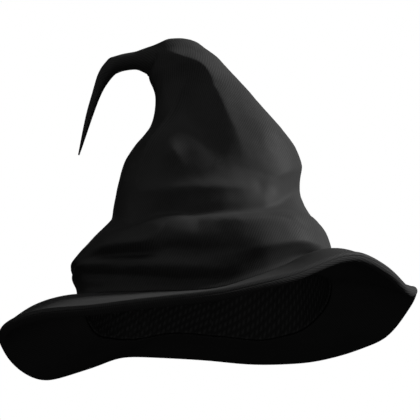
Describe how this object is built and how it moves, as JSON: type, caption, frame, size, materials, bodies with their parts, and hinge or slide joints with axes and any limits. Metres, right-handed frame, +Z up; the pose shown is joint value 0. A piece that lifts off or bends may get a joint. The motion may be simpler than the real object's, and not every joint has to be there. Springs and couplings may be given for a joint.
{
  "type": "witch hat",
  "caption": "Slouching pointed black twill witch hat with a hooked wired tip that bends at a fold, on a wide waved brim with a rolled edge.",
  "frame": {"origin": "centre of the hat's outline on the surface that the brim stands on", "axes": "+Z up, +X along the hat's longer way with the tip hooking towards -X, -Y to the front"},
  "size_m": [0.352, 0.33, 0.2739],
  "materials": {
    "black_twill": "coarse matt black twill",
    "black_twill_under": "the same twill, in deeper black",
    "interfacing": "stiff non-woven interfacing",
    "lining": "smooth black lining cloth",
    "foam": "closed-cell foam board",
    "grosgrain": "ribbed black ribbon",
    "spring_steel": "drawn wire",
    "ferrule_metal": "crimped tube",
    "wadding": "loose polyester fibre",
    "cap_plastic": "moulded end cap"
  },
  "bodies": {
    "root": {"crown_fabric": "black_twill", "crown_interfacing": "interfacing", "crown_lining": "lining", "sweatband_foam": "foam", "sweatband": "grosgrain", "brim_top_fabric": "black_twill", "brim_under_fabric": "black_twill_under", "brim_core": "foam", "brim_edge_wire": "spring_steel", "brim_wire_ferrule": "ferrule_metal", "neck_wadding": "wadding", "neck_wire": "spring_steel"},
    "tip": {"tip_fabric": "black_twill", "tip_stuffing": "wadding", "tip_wire": "spring_steel", "tip_wire_cap": "cap_plastic"}
  },
  "joints": [
    {"name": "tip_fold", "type": "hinge", "parent": "root", "child": "tip", "pos_m": [-0.02651, 0, 0.25832], "axis": [0, 1, 0], "range_deg": [-15, 55]}
  ]
}
